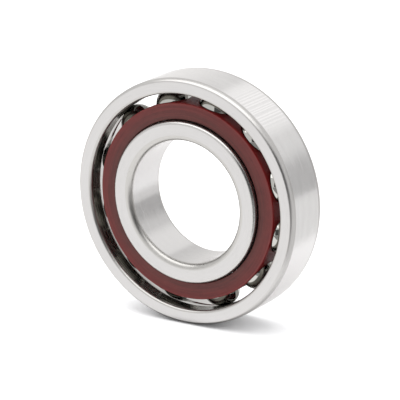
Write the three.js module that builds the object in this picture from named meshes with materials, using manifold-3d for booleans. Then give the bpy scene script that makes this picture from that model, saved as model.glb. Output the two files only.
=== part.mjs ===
// Single-row angular contact ball bearing, 40 mm bore, 80 mm outside diameter, 18 mm wide.
// Millimetres. The bearing's axis is Y, +Z is up, and the origin is the bearing's centre.
// The outer ring keeps its full shoulder on the -Y side and is relieved on the +Y side.

import * as THREE from 'three';
import { mergeVertices } from 'three/addons/utils/BufferGeometryUtils.js';
import Module from 'manifold-3d';

// Boundary dimensions
const BORE_RADIUS = 20;
const OUTER_RADIUS = 40;
const HALF_WIDTH = 9;
const OUTER_CORNER = 1.1;
const OUTER_CORNER_DEPTH = 2.2;
const BORE_CORNER = 1.9;
const EDGE_BREAK = 0.4;

// Ball set: twelve 15/32 inch balls, the first one this far from +X towards +Z
const BALL_COUNT = 12;
const BALL_RADIUS = 11.906 / 2;
const PITCH_RADIUS = 30.25;
const FIRST_BALL_ANGLE = THREE.MathUtils.degToRad(15.9);

// Raceways, whose grooves are struck from the ball's centre with running clearance
const GROOVE_RADIUS = BALL_RADIUS + 0.15;
const SHOULDER_RADIUS = 35.1;
const SHOULDER_CORNER = 0.9;
const SHOULDER_CORNER_DEPTH = 1.3;
const RELIEF_RADIUS = 36.15;
const RELIEF_MOUTH_RADIUS = 36.8;
const INNER_LAND_RADIUS = 26.3;
const INNER_LAND_CORNER = 1.1;

// Cage, a ring turned from one tube, with a drilled pocket for each ball
const CAGE_INNER_RADIUS = 26.6;
const CAGE_OUTER_RADIUS = 31.9;
const CAGE_HALF_WIDTH = 7.25;
const CAGE_EDGE_BREAK = 0.3;
const POCKET_RADIUS = BALL_RADIUS + 0.12;

// Fineness of the faceted solids
const RING_SEGMENTS = 72;
const GROOVE_STEPS = 8;
const CORNER_STEPS = 3;
const POCKET_SEGMENTS = 32;
const BALL_DETAIL = 3;

const ringSteel = new THREE.MeshStandardMaterial({ color: 0xcfcfce, roughness: 0.3, metalness: 1 });
const ballSteel = new THREE.MeshStandardMaterial({ color: 0xe4e4e6, roughness: 0.05, metalness: 1 });
const phenolic = new THREE.MeshStandardMaterial({ color: 0x6f3f3d, roughness: 0.6, metalness: 0 });

const wasm = await Module();
wasm.setup();

// Points of an arc in the profile plane, where x is the radius and y lies along the axis.
// The arc is round, or elliptical when its depth along the axis differs from its radius.
function arc(centreRadius, centreAxial, radius, startAngle, endAngle, steps, depth = radius) {
  const points = [];
  for (let step = 0; step <= steps; step += 1) {
    const angle = THREE.MathUtils.lerp(startAngle, endAngle, step / steps);
    points.push(new THREE.Vector2(
      centreRadius + radius * Math.cos(angle),
      centreAxial + depth * Math.sin(angle),
    ));
  }
  return points;
}

// Half the groove's axial width where it reaches a given radius.
function grooveHalfWidth(radius) {
  return Math.sqrt(GROOVE_RADIUS ** 2 - (radius - PITCH_RADIUS) ** 2);
}

// Angle of the groove's arc where it reaches a given radius, on the +Y side.
function grooveAngle(radius) {
  return Math.atan2(grooveHalfWidth(radius), radius - PITCH_RADIUS);
}

// A closed profile turned about Y.
function turned(profile) {
  return new THREE.LatheGeometry([...profile, profile[0].clone()], RING_SEGMENTS);
}

function outerRingProfile() {
  const cornerRadius = OUTER_RADIUS - OUTER_CORNER;
  const cornerAxial = HALF_WIDTH - OUTER_CORNER_DEPTH;
  const shoulderAxial = HALF_WIDTH - SHOULDER_CORNER_DEPTH;
  const shoulderRadius = SHOULDER_RADIUS + SHOULDER_CORNER;
  const mouthEdge = RELIEF_MOUTH_RADIUS + EDGE_BREAK;
  const quarter = Math.PI / 2;
  return [
    ...arc(
      shoulderRadius,
      -shoulderAxial,
      SHOULDER_CORNER,
      -2 * quarter,
      -quarter,
      CORNER_STEPS,
      SHOULDER_CORNER_DEPTH,
    ),
    ...arc(
      cornerRadius,
      -cornerAxial,
      OUTER_CORNER,
      -quarter,
      0,
      CORNER_STEPS,
      OUTER_CORNER_DEPTH,
    ),
    ...arc(
      cornerRadius,
      cornerAxial,
      OUTER_CORNER,
      0,
      quarter,
      CORNER_STEPS,
      OUTER_CORNER_DEPTH,
    ),
    new THREE.Vector2(mouthEdge, HALF_WIDTH),
    new THREE.Vector2(RELIEF_MOUTH_RADIUS, HALF_WIDTH - EDGE_BREAK),
    ...arc(
      PITCH_RADIUS,
      0,
      GROOVE_RADIUS,
      grooveAngle(RELIEF_RADIUS),
      -grooveAngle(SHOULDER_RADIUS),
      GROOVE_STEPS,
    ),
  ];
}

function innerRingProfile() {
  const cornerRadius = BORE_RADIUS + BORE_CORNER;
  const cornerAxial = HALF_WIDTH - BORE_CORNER;
  const landRadius = INNER_LAND_RADIUS - INNER_LAND_CORNER;
  const landAxial = HALF_WIDTH - INNER_LAND_CORNER;
  const quarter = Math.PI / 2;
  const landAngle = grooveAngle(INNER_LAND_RADIUS);
  return [
    ...arc(cornerRadius, -cornerAxial, BORE_CORNER, -2 * quarter, -quarter, CORNER_STEPS),
    ...arc(landRadius, -landAxial, INNER_LAND_CORNER, -quarter, 0, CORNER_STEPS),
    ...arc(PITCH_RADIUS, 0, GROOVE_RADIUS, 2 * Math.PI - landAngle, landAngle, GROOVE_STEPS),
    ...arc(landRadius, landAxial, INNER_LAND_CORNER, 0, quarter, CORNER_STEPS),
    ...arc(cornerRadius, cornerAxial, BORE_CORNER, quarter, 2 * quarter, CORNER_STEPS),
  ];
}

function cageProfile() {
  const shoulder = CAGE_HALF_WIDTH - CAGE_EDGE_BREAK;
  return [
    new THREE.Vector2(CAGE_INNER_RADIUS + CAGE_EDGE_BREAK, -CAGE_HALF_WIDTH),
    new THREE.Vector2(CAGE_OUTER_RADIUS - CAGE_EDGE_BREAK, -CAGE_HALF_WIDTH),
    new THREE.Vector2(CAGE_OUTER_RADIUS, -shoulder),
    new THREE.Vector2(CAGE_OUTER_RADIUS, shoulder),
    new THREE.Vector2(CAGE_OUTER_RADIUS - CAGE_EDGE_BREAK, CAGE_HALF_WIDTH),
    new THREE.Vector2(CAGE_INNER_RADIUS + CAGE_EDGE_BREAK, CAGE_HALF_WIDTH),
    new THREE.Vector2(CAGE_INNER_RADIUS, shoulder),
    new THREE.Vector2(CAGE_INNER_RADIUS, -shoulder),
  ];
}

function ballAngle(index) {
  return FIRST_BALL_ANGLE + (index * 2 * Math.PI) / BALL_COUNT;
}

function toSolid(geometry) {
  const bare = geometry.clone();
  bare.deleteAttribute('normal');
  bare.deleteAttribute('uv');
  const merged = mergeVertices(bare);
  return new wasm.Manifold(new wasm.Mesh({
    numProp: 3,
    vertProperties: merged.attributes.position.array,
    triVerts: Uint32Array.from(merged.index.array),
  }));
}

function toGeometry(solid) {
  const mesh = solid.getMesh();
  const geometry = new THREE.BufferGeometry();
  geometry.setAttribute('position', new THREE.BufferAttribute(mesh.vertProperties, mesh.numProp));
  geometry.setIndex(new THREE.BufferAttribute(mesh.triVerts, 1));
  geometry.computeVertexNormals();
  return geometry;
}

// The drill that cuts one pocket, straight in along the radius through the ball's centre.
function pocketDrill(index) {
  const drillLength = 4 * (CAGE_OUTER_RADIUS - CAGE_INNER_RADIUS);
  const drill = new THREE.CylinderGeometry(
    POCKET_RADIUS,
    POCKET_RADIUS,
    drillLength,
    POCKET_SEGMENTS,
  );
  drill.rotateZ(-Math.PI / 2);
  drill.translate(PITCH_RADIUS, 0, 0);
  drill.rotateY(-ballAngle(index));
  return drill;
}

function cageGeometry() {
  let solid = toSolid(turned(cageProfile()));
  for (let index = 0; index < BALL_COUNT; index += 1) {
    solid = solid.subtract(toSolid(pocketDrill(index)));
  }
  return toGeometry(solid);
}

function piece(name, geometry, material) {
  const mesh = new THREE.Mesh(geometry, material);
  mesh.name = name;
  return mesh;
}

function ball(index) {
  const name = `ball_${String(index + 1).padStart(2, '0')}`;
  const mesh = piece(name, new THREE.IcosahedronGeometry(BALL_RADIUS, BALL_DETAIL), ballSteel);
  const angle = ballAngle(index);
  mesh.position.set(PITCH_RADIUS * Math.cos(angle), 0, PITCH_RADIUS * Math.sin(angle));
  return mesh;
}

const bearing = new THREE.Group();
bearing.add(piece('outer_ring', turned(outerRingProfile()), ringSteel));
bearing.add(piece('inner_ring', turned(innerRingProfile()), ringSteel));
bearing.add(piece('cage', cageGeometry(), phenolic));
for (let index = 0; index < BALL_COUNT; index += 1) {
  bearing.add(ball(index));
}

export default bearing;
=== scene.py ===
"""Angular contact bearing standing on its rim on a pale studio floor. Metres."""

import math

import bmesh
import bpy
from mathutils import Matrix, Vector

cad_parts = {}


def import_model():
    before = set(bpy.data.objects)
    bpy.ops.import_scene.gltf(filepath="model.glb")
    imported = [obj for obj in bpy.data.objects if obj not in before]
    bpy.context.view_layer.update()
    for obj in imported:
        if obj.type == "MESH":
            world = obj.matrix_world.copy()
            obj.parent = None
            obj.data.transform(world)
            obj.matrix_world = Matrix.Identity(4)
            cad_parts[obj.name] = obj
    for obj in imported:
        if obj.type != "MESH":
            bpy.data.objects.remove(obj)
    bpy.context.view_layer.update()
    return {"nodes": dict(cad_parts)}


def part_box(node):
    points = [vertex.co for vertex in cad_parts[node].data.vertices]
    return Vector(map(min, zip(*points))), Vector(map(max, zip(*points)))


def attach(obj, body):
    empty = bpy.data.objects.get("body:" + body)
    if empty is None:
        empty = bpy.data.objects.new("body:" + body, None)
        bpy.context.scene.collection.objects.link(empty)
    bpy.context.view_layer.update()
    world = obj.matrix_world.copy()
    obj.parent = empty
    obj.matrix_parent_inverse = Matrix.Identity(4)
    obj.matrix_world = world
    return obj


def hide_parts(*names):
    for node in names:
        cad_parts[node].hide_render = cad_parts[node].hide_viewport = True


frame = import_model()

MM = 0.001

# Driving sizes taken from the frame
ring_low, ring_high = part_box("outer_ring")
OUTER_RADIUS = ring_high.x
HALF_WIDTH = ring_high.y
LAND_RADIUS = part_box("inner_ring")[1].x
CAGE_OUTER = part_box("cage")[1].x
CAGE_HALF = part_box("cage")[1].y
BALLS = sorted(name for name in frame["nodes"] if name.startswith("ball_"))
FLOOR_LEVEL = ring_low.z

# Sizes that the frame's boxes don't give
BORE_RADIUS = 20 * MM
OUTER_CORNER = 1.1 * MM
OUTER_CORNER_DEPTH = 2.2 * MM
BORE_CORNER = 1.9 * MM
MOUTH_ROUND = 0.9 * MM
MOUTH_ROUND_DEPTH = 1.3 * MM
LAND_ROUND = 1.1 * MM
EDGE_ROUND = 0.4 * MM
SHOULDER_RADIUS = 35.1 * MM
RELIEF_RADIUS = 36.15 * MM
RELIEF_MOUTH = 36.8 * MM
PITCH_RADIUS = 30.25 * MM
BALL_RADIUS = 11.906 / 2 * MM
GROOVE_RADIUS = BALL_RADIUS + 0.15 * MM
CAGE_INNER = 26.6 * MM
CAGE_EDGE = 0.3 * MM
POCKET_RADIUS = BALL_RADIUS + 0.12 * MM
POCKET_EDGE = 0.1 * MM

# Fineness of the meshes
RING_STEPS = 240
GROOVE_STEPS = 28
BALL_SUBDIVISIONS = 5
POCKET_SPOKES = 64
WELD_DISTANCE = 0.002 * MM

# Grinding waves round the rim and the bore, and where they are strongest: round the spot where
# the rim's highlight falls
CHATTER_WAVES = 225
CHATTER_SPOT_DEG = 54

# How much more a step along the axis counts than one across it in the streaks' coordinate,
# so that bevels at 45 degrees keep their streaks
AXIAL_SHARE = 1.37

# Material places on the rings
GROUND_FACE, GROUND_RIM, GROUND_BORE, CORNER, TURNED, CHAMFERED, LAND, RACEWAY = range(8)


# ---------------------------------------------------------------- outlines

def line(start, end, place):
    """One straight stretch of an outline, as (start, end, start normal, end normal, place)."""
    along = (end - start).normalized()
    normal = Vector((along.y, -along.x))
    return [(start, end, normal, normal, place)]


def arc(centre, radius, start_deg, end_deg, steps, place, hollow=False, depth=None):
    """A round stretch, or an elliptical one when it has a depth of its own along the axis.

    Its normals point away from the centre, or towards it when hollow.
    """
    depth = depth or radius
    facing = -1 if hollow else 1
    points, normals = [], []
    for step in range(steps + 1):
        turn = math.radians(start_deg + (end_deg - start_deg) * step / steps)
        across, along = math.cos(turn), math.sin(turn)
        points.append(centre + Vector((radius * across, depth * along)))
        normals.append(facing * Vector((across / radius, along / depth)).normalized())
    return [(points[step], points[step + 1], normals[step], normals[step + 1], place)
            for step in range(steps)]


def joined(stretches):
    """A closed outline, with a straight line across each gap between the stretches."""
    outline = []
    for index, (stretch, gap_place) in enumerate(stretches):
        outline += stretch
        following = stretches[(index + 1) % len(stretches)][0][0][0]
        if (following - stretch[-1][1]).length > 1e-7:
            outline += line(stretch[-1][1], following, gap_place)
    return outline


def groove_angle(radius):
    """Degrees round the groove's arc, from straight out, where it reaches a radius."""
    return math.degrees(math.acos((radius - PITCH_RADIUS) / GROOVE_RADIUS))


def corner(radius, axial, size, start_deg, steps, place, depth=None):
    """A quarter round, or quarter ellipse, tucked into a corner of the outline."""
    depth = depth or size
    middle = math.radians(start_deg + 45)
    centre = Vector((radius - math.copysign(size, math.cos(middle)),
                     axial - math.copysign(depth, math.sin(middle))))
    return arc(centre, size, start_deg, start_deg + 90, steps, place, depth=depth)


def outer_ring_outline():
    pitch = Vector((PITCH_RADIUS, 0))
    groove = arc(pitch, GROOVE_RADIUS, groove_angle(RELIEF_RADIUS),
                 -groove_angle(SHOULDER_RADIUS), GROOVE_STEPS, RACEWAY, hollow=True)
    return joined([
        (corner(SHOULDER_RADIUS, -HALF_WIDTH, MOUTH_ROUND, 180, 8, CHAMFERED,
                depth=MOUTH_ROUND_DEPTH), GROUND_FACE),
        (corner(OUTER_RADIUS, -HALF_WIDTH, OUTER_CORNER, 270, 12, CORNER,
                depth=OUTER_CORNER_DEPTH), GROUND_RIM),
        (corner(OUTER_RADIUS, HALF_WIDTH, OUTER_CORNER, 0, 12, CORNER,
                depth=OUTER_CORNER_DEPTH), GROUND_FACE),
        (corner(RELIEF_MOUTH, HALF_WIDTH, EDGE_ROUND, 90, 5, TURNED), RACEWAY),
        (groove, LAND),
    ])


def inner_ring_outline():
    pitch = Vector((PITCH_RADIUS, 0))
    lip = groove_angle(LAND_RADIUS)
    groove = arc(pitch, GROOVE_RADIUS, 360 - lip, lip, GROOVE_STEPS, RACEWAY, hollow=True)
    return joined([
        (corner(BORE_RADIUS, -HALF_WIDTH, BORE_CORNER, 180, 8, CHAMFERED), GROUND_FACE),
        (corner(LAND_RADIUS, -HALF_WIDTH, LAND_ROUND, 270, 6, TURNED), TURNED),
        (groove, TURNED),
        (corner(LAND_RADIUS, HALF_WIDTH, LAND_ROUND, 0, 6, TURNED), GROUND_FACE),
        (corner(BORE_RADIUS, HALF_WIDTH, BORE_CORNER, 90, 8, CHAMFERED), GROUND_BORE),
    ])


# ---------------------------------------------------------------- meshes

def add_object(name, mesh, materials):
    for material in materials:
        mesh.materials.append(material)
    piece = bpy.data.objects.new(name, mesh)
    bpy.context.scene.collection.objects.link(piece)
    return piece


def turned(name, outline, materials):
    """The outline turned about Y, with the outline's own normals on every face corner."""
    count = len(outline)
    spins, verts, faces, places, normals = [], [], [], [], []
    for step in range(RING_STEPS + 1):
        angle = 2 * math.pi * step / RING_STEPS
        spins.append(Vector((math.cos(angle), math.sin(angle))))
    for spin in spins[:-1]:
        verts += [(p.x * spin.x, p.y, p.x * spin.y) for p, *_ in outline]
    for step in range(RING_STEPS):
        here, ahead = spins[step], spins[step + 1]
        after = (step + 1) % RING_STEPS
        for index, (_, _, start_normal, end_normal, place) in enumerate(outline):
            other = (index + 1) % count
            faces.append((step * count + index, step * count + other,
                          after * count + other, after * count + index))
            places.append(place)
            for normal, spin in ((start_normal, here), (end_normal, here),
                                 (end_normal, ahead), (start_normal, ahead)):
                normals.append((normal.x * spin.x, normal.y, normal.x * spin.y))
    mesh = bpy.data.meshes.new(name)
    mesh.from_pydata(verts, [], faces)
    mesh.polygons.foreach_set("material_index", places)
    mesh.polygons.foreach_set("use_smooth", [True] * len(faces))
    mesh.normals_split_custom_set(normals)
    return add_object(name, mesh, materials)


def ball_centre(name):
    low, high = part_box(name)
    return (low + high) / 2


def ball(name, centre, material):
    """A fine geodesic ball with true radial normals."""
    shape = bmesh.new()
    bmesh.ops.create_icosphere(shape, subdivisions=BALL_SUBDIVISIONS, radius=BALL_RADIUS)
    mesh = bpy.data.meshes.new(name)
    shape.to_mesh(mesh)
    shape.free()
    mesh.polygons.foreach_set("use_smooth", [True] * len(mesh.polygons))
    mesh.normals_split_custom_set_from_vertices([v.co.normalized() for v in mesh.vertices])
    piece = add_object(name, mesh, [material])
    piece.location = centre
    return piece


def pocket_border(spoke):
    """Where a spoke from the pocket's centre meets the edge of its sector, as (angle, axial)."""
    turn = 2 * math.pi * spoke / POCKET_SPOKES
    across, along = math.cos(turn), math.sin(turn)
    reach = 1 / max(abs(across), abs(along))
    return (across * reach * math.pi / len(BALLS),
            along * reach * (CAGE_HALF - CAGE_EDGE))


def cage_sector(shape, centre_angle):
    """One pocket and the cage around it, out to halfway to the neighbouring pockets."""

    def vert(radius, angle, axial):
        turned_to = centre_angle + angle
        return shape.verts.new((radius * math.cos(turned_to), axial,
                                radius * math.sin(turned_to)))

    def hole_ring(radius, hole):
        """Points round a hole of the given size, all at one radius from the axis."""
        ring = []
        for spoke in range(POCKET_SPOKES):
            turn = 2 * math.pi * spoke / POCKET_SPOKES
            angle = math.asin(hole * math.cos(turn) / radius)
            ring.append(vert(radius, angle, hole * math.sin(turn)))
        return ring

    def painted_outside_light(radius, hole, towards_border):
        """The hole's edge at one radius, then rings that blend out to the sector's border."""
        rings = [hole_ring(radius, hole)]
        for blend in towards_border:
            ring = []
            for spoke in range(POCKET_SPOKES):
                turn = 2 * math.pi * spoke / POCKET_SPOKES
                border_angle, border_axial = pocket_border(spoke)
                hole_angle = math.asin(hole * math.cos(turn) / radius)
                hole_axial = hole * math.sin(turn)
                ring.append(vert(radius, hole_angle + (border_angle - hole_angle) * blend,
                                 hole_axial + (border_axial - hole_axial) * blend))
            rings.append(ring)
        return rings

    def bridge(rings):
        for inner, outer in zip(rings, rings[1:]):
            for spoke in range(POCKET_SPOKES):
                after = (spoke + 1) % POCKET_SPOKES
                shape.faces.new((inner[spoke], inner[after], outer[after], outer[spoke]))

    outer_skin = painted_outside_light(CAGE_OUTER, POCKET_RADIUS + POCKET_EDGE, (0.3, 0.65, 1))
    inner_skin = painted_outside_light(CAGE_INNER, POCKET_RADIUS + POCKET_EDGE, (0.5, 1))
    wall = []
    for step in range(1, 4):
        turn = math.radians(90 - 30 * step)
        wall.append(hole_ring(CAGE_OUTER - POCKET_EDGE * (1 - math.sin(turn)),
                              POCKET_RADIUS + POCKET_EDGE * (1 - math.cos(turn))))
    for share in (0.25, 0.5, 0.75):
        top = CAGE_OUTER - POCKET_EDGE
        bottom = CAGE_INNER + POCKET_EDGE
        wall.append(hole_ring(top + (bottom - top) * share, POCKET_RADIUS))
    for step in range(3):
        turn = math.radians(30 * step)
        wall.append(hole_ring(CAGE_INNER + POCKET_EDGE * (1 - math.sin(turn)),
                              POCKET_RADIUS + POCKET_EDGE * (1 - math.cos(turn))))
    bridge(list(reversed(outer_skin)) + wall + inner_skin)
    cage_rims(shape, vert)


def cage_rims(shape, vert):
    """The rounded edges and end faces that close one sector of the cage."""
    half_axial = CAGE_HALF - CAGE_EDGE
    borders = [pocket_border(spoke) for spoke in range(POCKET_SPOKES)]
    angles = sorted(angle for angle, axial in borders if axial > half_axial - 1e-9)
    rounds = [math.radians(22.5 * step) for step in range(5)]
    faces_between = [0.2, 0.4, 0.6, 0.8]
    for side in (-1, 1):
        profile = [(CAGE_OUTER - CAGE_EDGE * (1 - math.cos(t)),
                    side * (half_axial + CAGE_EDGE * math.sin(t))) for t in rounds]
        high, low = CAGE_OUTER - CAGE_EDGE, CAGE_INNER + CAGE_EDGE
        profile += [(high + (low - high) * share, side * CAGE_HALF) for share in faces_between]
        profile += [(CAGE_INNER + CAGE_EDGE * (1 - math.cos(t)),
                     side * (half_axial + CAGE_EDGE * math.sin(t))) for t in reversed(rounds)]
        rows = [[vert(radius, angle, axial) for radius, axial in profile] for angle in angles]
        for row, following in zip(rows, rows[1:]):
            for index in range(len(profile) - 1):
                shape.faces.new((row[index], row[index + 1],
                                 following[index + 1], following[index]))


def cage_mesh(material):
    shape = bmesh.new()
    for name in BALLS:
        centre = ball_centre(name)
        cage_sector(shape, math.atan2(centre.z, centre.x))
    bmesh.ops.remove_doubles(shape, verts=shape.verts, dist=WELD_DISTANCE)
    bmesh.ops.recalc_face_normals(shape, faces=shape.faces)
    mesh = bpy.data.meshes.new("cage_fine")
    shape.to_mesh(mesh)
    shape.free()
    mesh.polygons.foreach_set("use_smooth", [True] * len(mesh.polygons))
    mesh.set_sharp_from_angle(angle=math.radians(40))
    return add_object("cage_fine", mesh, [material])


# ---------------------------------------------------------------- materials

class Nodes:
    """A material's node tree with short calls for adding and linking nodes."""

    def __init__(self, name):
        self.material = bpy.data.materials.new(name)
        self.material.use_nodes = True
        self.tree = self.material.node_tree
        self.shader = self.tree.nodes["Principled BSDF"]

    def add(self, kind, **settings):
        node = self.tree.nodes.new(kind)
        for key, value in settings.items():
            setattr(node, key, value)
        return node

    def feed(self, socket, value):
        if isinstance(value, bpy.types.NodeSocket):
            self.tree.links.new(value, socket)
        else:
            socket.default_value = value

    def math(self, operation, *values):
        node = self.add("ShaderNodeMath", operation=operation)
        for socket, value in zip(node.inputs, values):
            self.feed(socket, value)
        return node.outputs[0]

    def vector(self, x, y, z):
        node = self.add("ShaderNodeCombineXYZ")
        for socket, value in zip(node.inputs, (x, y, z)):
            self.feed(socket, value)
        return node.outputs[0]

    def noise(self, vector, scale=1.0, detail=2.0, roughness=0.5):
        node = self.add("ShaderNodeTexNoise")
        self.feed(node.inputs["Vector"], vector)
        node.inputs["Scale"].default_value = scale
        node.inputs["Detail"].default_value = detail
        node.inputs["Roughness"].default_value = roughness
        return node.outputs["Fac"]

    def remap(self, value, low, high, to_low, to_high):
        node = self.add("ShaderNodeMapRange")
        for socket, number in zip(node.inputs, (value, low, high, to_low, to_high)):
            self.feed(socket, number)
        return node.outputs["Result"]

    def mix(self, share, first, second):
        node = self.add("ShaderNodeMix", data_type="RGBA")
        self.feed(node.inputs["Factor"], share)
        self.feed(node.inputs["A"], first)
        self.feed(node.inputs["B"], second)
        return node.outputs["Result"]

    def bump(self, height):
        """Relief from a height in metres."""
        node = self.add("ShaderNodeBump")
        node.inputs["Strength"].default_value = 1.0
        node.inputs["Distance"].default_value = 1.0
        self.feed(node.inputs["Height"], height)
        self.feed(self.shader.inputs["Normal"], node.outputs["Normal"])

    def around(self):
        """Unit direction round the axis (x, z), and the radius and axial place, all at rest."""
        split = self.add("ShaderNodeSeparateXYZ")
        place = self.add("ShaderNodeTexCoord").outputs["Object"]
        self.feed(split.inputs[0], place)
        x, y, z = split.outputs
        radius = self.math("SQRT", self.math("ADD", self.math("MULTIPLY", x, x),
                                             self.math("MULTIPLY", z, z)))
        return self.math("DIVIDE", x, radius), self.math("DIVIDE", z, radius), radius, y

    def set(self, **values):
        for key, value in values.items():
            self.feed(self.shader.inputs[key.replace("_", " ")], value)


def circling(nodes, streak, per_metre):
    """A coordinate that is stretched round the axis and fine across it."""
    east, north, radius, axial = nodes.around()
    across = nodes.math("ADD", radius, nodes.math("MULTIPLY", axial, AXIAL_SHARE))
    return nodes.vector(nodes.math("MULTIPLY", east, streak),
                        nodes.math("MULTIPLY", north, streak),
                        nodes.math("MULTIPLY", across, per_metre))


def steel(name, tone, roughness, streak, per_metre, bump_depth, anisotropy,
          spread=0.06, contrast=0.06, chatter=0.0):
    """Steel worked in circles round the axis: fine streaks in tone, roughness and relief."""
    nodes = Nodes(name)
    fine = nodes.noise(circling(nodes, streak, per_metre), detail=3)
    broad = nodes.noise(circling(nodes, 2.0, per_metre / 14), detail=2)
    both = nodes.math("ADD", nodes.math("MULTIPLY", fine, 0.6),
                      nodes.math("MULTIPLY", broad, 0.4))
    relief = nodes.math("MULTIPLY", fine, bump_depth)
    shading = both
    if chatter:
        waves_and_glints = chatter_and_glint_waves(nodes)
        relief = nodes.math("ADD", relief, nodes.math("MULTIPLY", waves_and_glints, chatter))
        # The waves in relief are real grinding waves; in tone they are painted reflection
        # stripes.
        shading = nodes.math("ADD", both, nodes.math("MULTIPLY", waves_and_glints, 0.22))
    dark = tuple(c * (1 - contrast) for c in tone) + (1,)
    light = tuple(c * (1 + contrast) for c in tone) + (1,)
    nodes.set(Metallic=1.0,
              Base_Color=nodes.mix(nodes.remap(shading, 0.3, 0.7, 0, 1), dark, light),
              Roughness=nodes.remap(both, 0.3, 0.7, roughness - spread, roughness + spread),
              Specular_Tint=(0.86, 0.85, 0.84, 1), Anisotropic=anisotropy,
              Anisotropic_Rotation=0.25)
    tangent = nodes.add("ShaderNodeTangent", direction_type="RADIAL", axis="Y")
    nodes.feed(nodes.shader.inputs["Tangent"], tangent.outputs["Tangent"])
    nodes.bump(relief)
    return nodes.material


def chatter_and_glint_waves(nodes):
    """Faint, uneven grinding waves that run along the axis, strongest round the spot where the
    rim's highlight falls; their tone is painted reflection stripes.
    """
    east, north, _, _ = nodes.around()
    evenly = nodes.math("MULTIPLY", nodes.math("ARCTAN2", north, east), CHATTER_WAVES)
    wander = nodes.noise(nodes.vector(east, north, 0.0), scale=20, detail=2)
    wave = nodes.math("SINE", nodes.math("ADD", evenly, nodes.math("MULTIPLY", wander, 12)))
    spot = math.radians(CHATTER_SPOT_DEG)
    near = nodes.math("ADD", nodes.math("MULTIPLY", east, math.cos(spot)),
                      nodes.math("MULTIPLY", north, math.sin(spot)))
    return nodes.math("MULTIPLY", wave, nodes.remap(near, 0.980, 0.996, 0.05, 1.0))


def ball_steel():
    """Mirror-polished ball steel with a faint lapping haze; its low tone is painted shade of the
    gap between the rings.
    """
    nodes = Nodes("polished_ball_steel_painted_dark")
    place = nodes.add("ShaderNodeTexCoord").outputs["Object"]
    haze = nodes.noise(place, scale=900, detail=4, roughness=0.6)
    # Painted shade: the ball tones are kept low so that the balls look as dark as they do in the
    # shaded gap.
    nodes.set(Metallic=1.0,
              Base_Color=nodes.mix(haze, (0.37, 0.365, 0.345, 1), (0.46, 0.455, 0.43, 1)),
              Roughness=nodes.remap(haze, 0.35, 0.65, 0.02, 0.07))
    nodes.bump(nodes.math("MULTIPLY", haze, 0.3e-6))
    return nodes.material


def phenolic():
    """Turned textile phenolic: wound cotton layers in dark red-brown resin, with a painted
    highlight along the outer edge of the end faces and painted light on the outside surface.
    """
    nodes = Nodes("textile_phenolic")
    _, _, radius, _ = nodes.around()
    layers = nodes.noise(circling(nodes, 1.5, 2200), detail=2)
    threads = nodes.noise(circling(nodes, 60, 3000), detail=2, roughness=0.7)
    mottle = nodes.noise(circling(nodes, 9, 500), detail=3, roughness=0.6)
    outward = nodes.remap(radius, CAGE_INNER, CAGE_OUTER, 0.0, 1.0)
    # Painted highlight: a lighter red band along the outer edge of the end faces.
    painted_edge_highlight = nodes.remap(radius, CAGE_OUTER - 0.9 * MM, CAGE_OUTER - 0.3 * MM, 0.0, 0.28)
    # Painted light: the outside surface is redder, as its skin is, and is also brightened against
    # the shade it lies in.
    painted_outside_light = nodes.remap(radius, CAGE_OUTER - 0.2 * MM, CAGE_OUTER, 0.0, 0.85)
    # Darker and browner towards the inside, redder towards the outside.
    radial_tone = nodes.mix(outward, (0.060, 0.025, 0.021, 1), (0.102, 0.011, 0.011, 1))
    mottled = nodes.mix(nodes.remap(mottle, 0.35, 0.65, 0.0, 0.45), radial_tone,
                        (0.048, 0.012, 0.012, 1))
    layered = nodes.mix(nodes.remap(layers, 0.35, 0.65, 0.0, 0.5), mottled,
                        (0.125, 0.024, 0.022, 1))
    flecked = nodes.mix(nodes.remap(threads, 0.60, 0.78, 0.0, 0.4), layered,
                        (0.18, 0.065, 0.055, 1))
    # The painted highlight band laid over the cage's colour.
    edge_highlighted = nodes.mix(painted_edge_highlight, flecked, (0.165, 0.030, 0.026, 1))
    # The outside surface gets its redder, painted-lit colour here.
    nodes.set(Base_Color=nodes.mix(painted_outside_light, edge_highlighted, (0.175, 0.007, 0.007, 1)),
              Roughness=nodes.remap(threads, 0.3, 0.7, 0.42, 0.62),
              Specular_IOR_Level=0.20)
    relief = nodes.math("ADD", nodes.math("MULTIPLY", layers, 7e-6),
                        nodes.math("MULTIPLY", threads, 5e-6))
    nodes.bump(relief)
    return nodes.material


# ---------------------------------------------------------------- object

# Tone, roughness, streaks round the axis and per metre across it, relief depth, anisotropy
ring_materials = [
    steel("ground_face_steel", (0.46, 0.45, 0.445), 0.32, 9, 5200, 1.5e-6, 0.4),
    steel("ground_rim_steel", (0.58, 0.57, 0.565), 0.22, 9, 5200, 1.5e-6, 0.7, chatter=2.2e-6),
    steel("ground_bore_steel", (0.49, 0.48, 0.475), 0.22, 9, 5200, 1.5e-6, 0.7, chatter=1.5e-6),
    steel("tumbled_corner_steel", (0.43, 0.42, 0.41), 0.33, 9, 4200, 1.5e-6, 0.2),
    steel("turned_corner_steel", (0.45, 0.44, 0.43), 0.26, 14, 4200, 2e-6, 0.3),
    steel("chamfer_steel", (0.41, 0.40, 0.385), 0.31, 14, 4200, 2e-6, 0.3),
    # Painted shade: the outer ring's land lies in the shaded gap between the rings, so its steel
    # is given a very dark tone.
    steel("turned_land_steel_painted_shade", (0.19, 0.18, 0.16), 0.26, 5, 1500, 6e-6, 0.6, contrast=0.65),
    # Painted shade: the raceway deep in the gap is given a darker tone than its steel has.
    steel("lapped_raceway_steel_painted_shade", (0.36, 0.35, 0.34), 0.10, 4, 7000, 0.5e-6, 0.5, spread=0.04),
]


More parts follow.
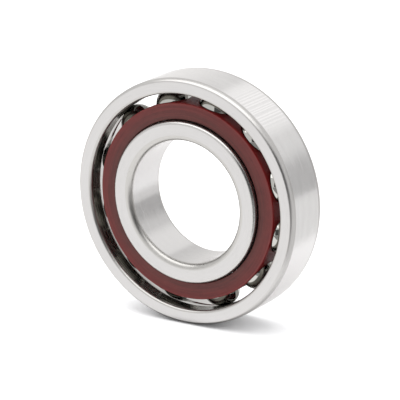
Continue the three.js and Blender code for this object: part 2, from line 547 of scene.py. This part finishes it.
def build_bearing():
    outer = turned("outer_ring_fine", outer_ring_outline(), ring_materials)
    inner = turned("inner_ring_fine", inner_ring_outline(), ring_materials)
    cage = cage_mesh(phenolic())
    pieces = [(outer, "outer_ring", "ring_steel"), (inner, "inner_ring", "ring_steel"),
              (cage, "cage", "cage_phenolic")]
    polished = ball_steel()
    for name in BALLS:
        pieces.append((ball(name + "_fine", ball_centre(name), polished), name, "ball_steel"))
    for piece, node, slot in pieces:
        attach(piece, node)
        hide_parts(node)


# ---------------------------------------------------------------- studio

def contact_shade(nodes):
    """Painted shadow as the steel reflects it: dark where the bearing stands, fading out to the
    sides and towards the back.
    """
    split = nodes.add("ShaderNodeSeparateXYZ")
    nodes.feed(split.inputs[0], nodes.add("ShaderNodeTexCoord").outputs["Object"])
    aside = nodes.remap(nodes.math("ABSOLUTE", split.outputs[0]), 10 * MM, 28 * MM, 0.0, 1.0)
    behind = nodes.remap(split.outputs[1], -4 * MM, 9 * MM, 0.0, 1.0)
    return nodes.remap(nodes.math("MAXIMUM", aside, behind), 0.0, 1.0, 0.15, 1.1)


def board(name, corners, shade):
    """A flat glowing board that only shows in what the polished steel reflects: a painted
    reflection of the studio's light and shade.

    Its shade is a brightness, or a function that adds nodes for one.
    """
    mesh = bpy.data.meshes.new(name)
    mesh.from_pydata(corners, [], [(0, 1, 2, 3)])
    nodes = Nodes(name)
    nodes.set(Base_Color=(0, 0, 0, 1), Emission_Color=(1, 1, 1, 1),
              Emission_Strength=shade(nodes) if callable(shade) else shade,
              Specular_IOR_Level=0.0)
    sheet = add_object(name, mesh, [nodes.material])
    sheet.visible_camera = False
    sheet.visible_diffuse = False
    sheet.visible_shadow = False


def level_corners(west, east, front, back, level):
    return [(west, front, level), (east, front, level), (east, back, level), (west, back, level)]


def floor_board(name, west, east, front, back, height, shade):
    """A board that lies just above the floor."""
    board(name, level_corners(west, east, front, back, FLOOR_LEVEL + height), shade)


def floor():
    nodes = Nodes("studio_floor")
    nodes.set(Base_Color=(0.93, 0.93, 0.94, 1), Roughness=0.9, Specular_IOR_Level=0.1)
    mesh = bpy.data.meshes.new("studio_floor")
    reach = 3.0
    mesh.from_pydata(level_corners(-reach, reach, -reach, reach, FLOOR_LEVEL), [], [(0, 1, 2, 3)])
    add_object("studio_floor", mesh, [nodes.material])


def area_light(name, centre, width, height, radiance, aim=None):
    """A rectangular softbox of a given brightness, turned to a point or straight down."""
    light = bpy.data.lights.new(name, "AREA")
    light.shape = "RECTANGLE"
    light.size = width
    light.size_y = height
    light.energy = radiance * math.pi * width * height
    lamp = bpy.data.objects.new(name, light)
    lamp.location = centre
    if aim is not None:
        turn = (Vector(aim) - Vector(centre)).to_track_quat("-Z", "Y")
        lamp.rotation_euler = turn.to_euler()
    lamp.visible_camera = False
    bpy.context.scene.collection.objects.link(lamp)
    return lamp


def lights():
    area_light("overhead_softbox", (-0.2, -0.26, 1.1), 1.8, 1.28, 1.65)
    area_light("overhead_fill", (-0.2, 0.56, 1.1), 1.8, 0.36, 1.65).visible_glossy = False
    area_light("back_softbox", (0.10, 0.95, 0.66), 0.7, 0.4, 0.4, aim=(0, 0, 0))


def boards():
    """Painted reflections: the tones that the steel picks up from the floor, the walls and a dark
    gap at the right, and a painted shadow where the bearing stands.
    """
    floor_board("floor_behind", 0.06, 1.5, -0.02, 1.5, 1 * MM, 1.2)
    floor_board("floor_dim", 0.055, 1.0, -0.8, -0.03, 1 * MM, 0.5)
    # Painted shadow under the bearing, seen only in the steel's reflections.
    floor_board("floor_contact_painted_shadow", -0.028, 0.028, -0.010, 0.009, 0.3 * MM, contact_shade)
    # Painted light: a bright sheet over the floor's shadow in front, seen only in the faces'
    # reflections.
    floor_board("floor_front", -0.6, 0.055, -0.7, -0.0105, 1 * MM, 1.65)
    board("grey_wall", [(0.15, 0.35, FLOOR_LEVEL), (0.6, 0.35, FLOOR_LEVEL),
                        (0.6, 0.35, 0.12), (0.15, 0.35, 0.12)], 0.75)
    board("back_glow", [(-0.95, 1.0, 0.0), (-0.40, 1.0, 0.0),
                        (-0.40, 1.0, 0.5), (-0.95, 1.0, 0.5)], 1.38)
    board("dark_gap", [(0.30, -1.15, -0.03), (1.19, -0.10, -0.03),
                       (1.19, -0.10, 0.72), (0.30, -1.15, 0.72)], 0.12)


def world():
    sky = bpy.data.worlds.new("studio_air")
    sky.use_nodes = True
    backdrop = sky.node_tree.nodes["Background"]
    backdrop.inputs["Color"].default_value = (1.0, 1.0, 1.0, 1)
    backdrop.inputs["Strength"].default_value = 1.15
    bpy.context.scene.world = sky


def camera():
    azimuth, elevation, roll = (math.radians(a) for a in (32.8, 17.0, -0.8))
    distance = 12.5 * 2 * OUTER_RADIUS
    lens_widths = 7.92
    shift_right, shift_down = 0.48 * MM, 1.23 * MM
    back = Vector((math.sin(azimuth) * math.cos(elevation),
                   -math.cos(azimuth) * math.cos(elevation), math.sin(elevation)))
    level = Vector((math.cos(azimuth), math.sin(azimuth), 0))
    upward = back.cross(level)
    right = math.cos(roll) * level + math.sin(roll) * upward
    up = math.cos(roll) * upward - math.sin(roll) * level
    eye = distance * back + shift_right * right - shift_down * up
    data = bpy.data.cameras.new("view")
    data.sensor_width = 36
    data.lens = lens_widths * data.sensor_width
    data.clip_end = 20
    seen_by = bpy.data.objects.new("view", data)
    turn = Matrix((right, up, back)).transposed()
    seen_by.matrix_world = Matrix.Translation(eye) @ turn.to_4x4()
    bpy.context.scene.collection.objects.link(seen_by)
    bpy.context.scene.camera = seen_by


build_bearing()
floor()
world()
lights()
boards()
camera()
bpy.context.scene.view_settings.view_transform = "Standard"
